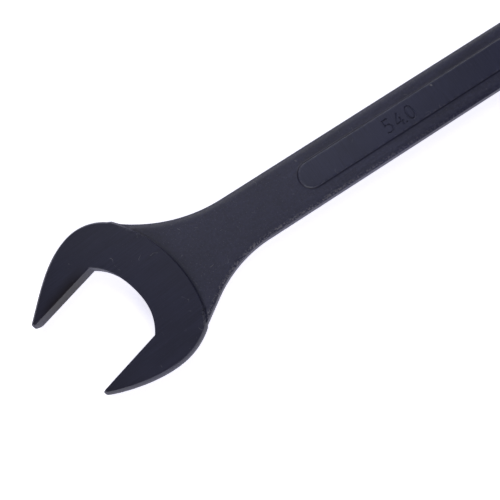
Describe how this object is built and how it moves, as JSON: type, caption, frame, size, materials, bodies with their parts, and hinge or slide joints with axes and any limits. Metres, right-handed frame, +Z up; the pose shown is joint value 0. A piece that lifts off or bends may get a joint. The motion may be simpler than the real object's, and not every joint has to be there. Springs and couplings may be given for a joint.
{
  "type": "combination wrench",
  "caption": "Large fixed combination wrench in black steel, with an open end angled 15 degrees and a tilted 12-point box end on a plain shank.",
  "frame": {"origin": "on the surface the wrench lies on, under the shank's centre line, midway between the jaw tips and the far edge of the ring", "axes": "+X along the shank from the open end to the box end, +Y towards the longer reach of the upper jaw, +Z up, the way the ring tilts"},
  "size_m": [0.6592, 0.0994, 0.0445],
  "materials": {
    "forged_steel": "satin black oxide over a forged skin",
    "ground_steel": "satin black oxide over ground faces"
  },
  "bodies": {
    "root": {"open_end_upper_jaw": "ground_steel", "open_end_lower_jaw": "ground_steel", "open_end_throat": "ground_steel", "open_end_neck": "forged_steel", "shank": "forged_steel", "size_panel_front": "ground_steel", "size_panel_back": "ground_steel", "box_end_neck": "forged_steel", "box_end_ring": "forged_steel"}
  },
  "joints": []
}
